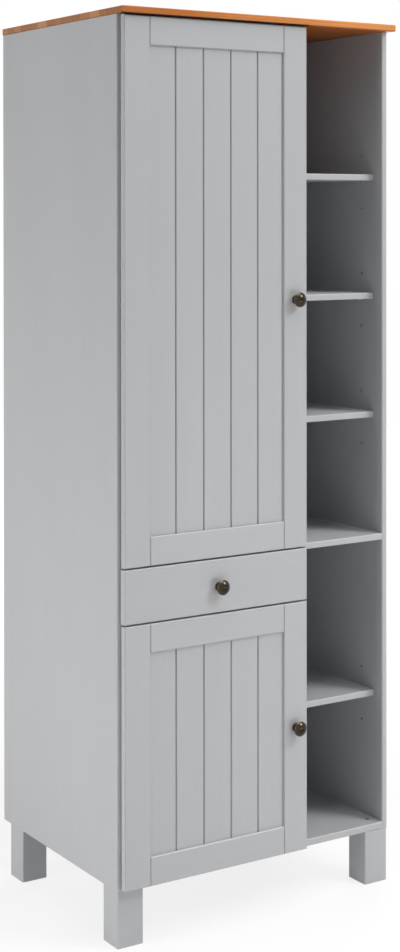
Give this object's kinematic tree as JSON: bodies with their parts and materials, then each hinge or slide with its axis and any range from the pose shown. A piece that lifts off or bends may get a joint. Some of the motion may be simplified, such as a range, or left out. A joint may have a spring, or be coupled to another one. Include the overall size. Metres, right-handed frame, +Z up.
{
  "type": "tall cabinet",
  "caption": "Tall painted wood cabinet on square feet: stained top, framed doors with a drawer between them, and a narrow open niche with loose shelves beside them.",
  "frame": {"origin": "on the floor, in the middle of the cabinet's outline seen from above, knobs included", "axes": "+Z up, the doors face -Y, the niche is on the +X side"},
  "size_m": [0.66, 0.5254, 1.8],
  "materials": {
    "grey_paint": "satin cool grey paint over softwood, grain just showing",
    "stained_top": "honey stain and satin lacquer on glued softwood staves",
    "antique_bronze": "dark antique bronze, rubbed bright on the rim",
    "hinge_steel": "nickel plated steel",
    "dark_steel": "dark plated steel",
    "catch_plastic": "moulded matt plastic",
    "back_hardboard": "thin grey lacquered hardboard",
    "drawer_hardboard": "plain brown hardboard",
    "natural_wood": "clear lacquered softwood"
  },
  "bodies": {
    "carcass": {"top_board": "stained_top", "divider_panel": "grey_paint", "left_side_panel": "grey_paint", "right_side_panel": "grey_paint", "bottom_board": "grey_paint", "niche_fixed_shelf": "grey_paint", "drawer_top_shelf": "grey_paint", "drawer_base_shelf": "grey_paint", "lower_back_panel": "back_hardboard", "upper_back_panel": "back_hardboard", "niche_shelf_1": "grey_paint", "niche_shelf_2": "grey_paint", "niche_shelf_3": "grey_paint", "niche_shelf_4": "grey_paint", "cupboard_shelf_1": "grey_paint", "cupboard_shelf_2": "grey_paint", "cupboard_shelf_3": "grey_paint", "cupboard_shelf_4": "grey_paint", "front_left_foot": "grey_paint", "front_right_foot": "grey_paint", "back_left_foot": "grey_paint", "back_right_foot": "grey_paint", "shelf_pins": "hinge_steel", "foot_bolts": "dark_steel", "upper_door_hinge_arms": "hinge_steel", "upper_door_hinge_plates": "hinge_steel", "lower_door_hinge_arms": "hinge_steel", "lower_door_hinge_plates": "hinge_steel", "magnetic_catches": "catch_plastic", "drawer_left_runner": "natural_wood", "drawer_right_runner": "natural_wood"},
    "upper_door": {"upper_door_left_stile": "grey_paint", "upper_door_right_stile": "grey_paint", "upper_door_top_rail": "grey_paint", "upper_door_bottom_rail": "grey_paint", "upper_door_panel": "grey_paint", "upper_door_knob": "antique_bronze", "upper_door_hinge_cups": "hinge_steel", "upper_door_hinge_pins": "hinge_steel", "upper_door_strike_plate": "hinge_steel"},
    "lower_door": {"lower_door_left_stile": "grey_paint", "lower_door_right_stile": "grey_paint", "lower_door_top_rail": "grey_paint", "lower_door_bottom_rail": "grey_paint", "lower_door_panel": "grey_paint", "lower_door_knob": "antique_bronze", "lower_door_hinge_cups": "hinge_steel", "lower_door_hinge_pins": "hinge_steel", "lower_door_strike_plate": "hinge_steel"},
    "drawer": {"drawer_front": "grey_paint", "drawer_inner_front": "natural_wood", "drawer_left_side": "natural_wood", "drawer_right_side": "natural_wood", "drawer_back": "natural_wood", "drawer_bottom": "drawer_hardboard", "drawer_knob": "antique_bronze"}
  },
  "joints": [
    {"name": "upper_door_hinge", "type": "hinge", "parent": "carcass", "child": "upper_door", "pos_m": [-0.312, -0.23075, 1.3567], "axis": [0, 0, -1], "range_deg": [0, 95]},
    {"name": "lower_door_hinge", "type": "hinge", "parent": "carcass", "child": "lower_door", "pos_m": [-0.312, -0.23075, 0.2136], "axis": [0, 0, -1], "range_deg": [0, 95]},
    {"name": "drawer_slide", "type": "slide", "parent": "carcass", "child": "drawer", "axis": [0, -1, 0], "range_m": [0, 0.3]}
  ]
}
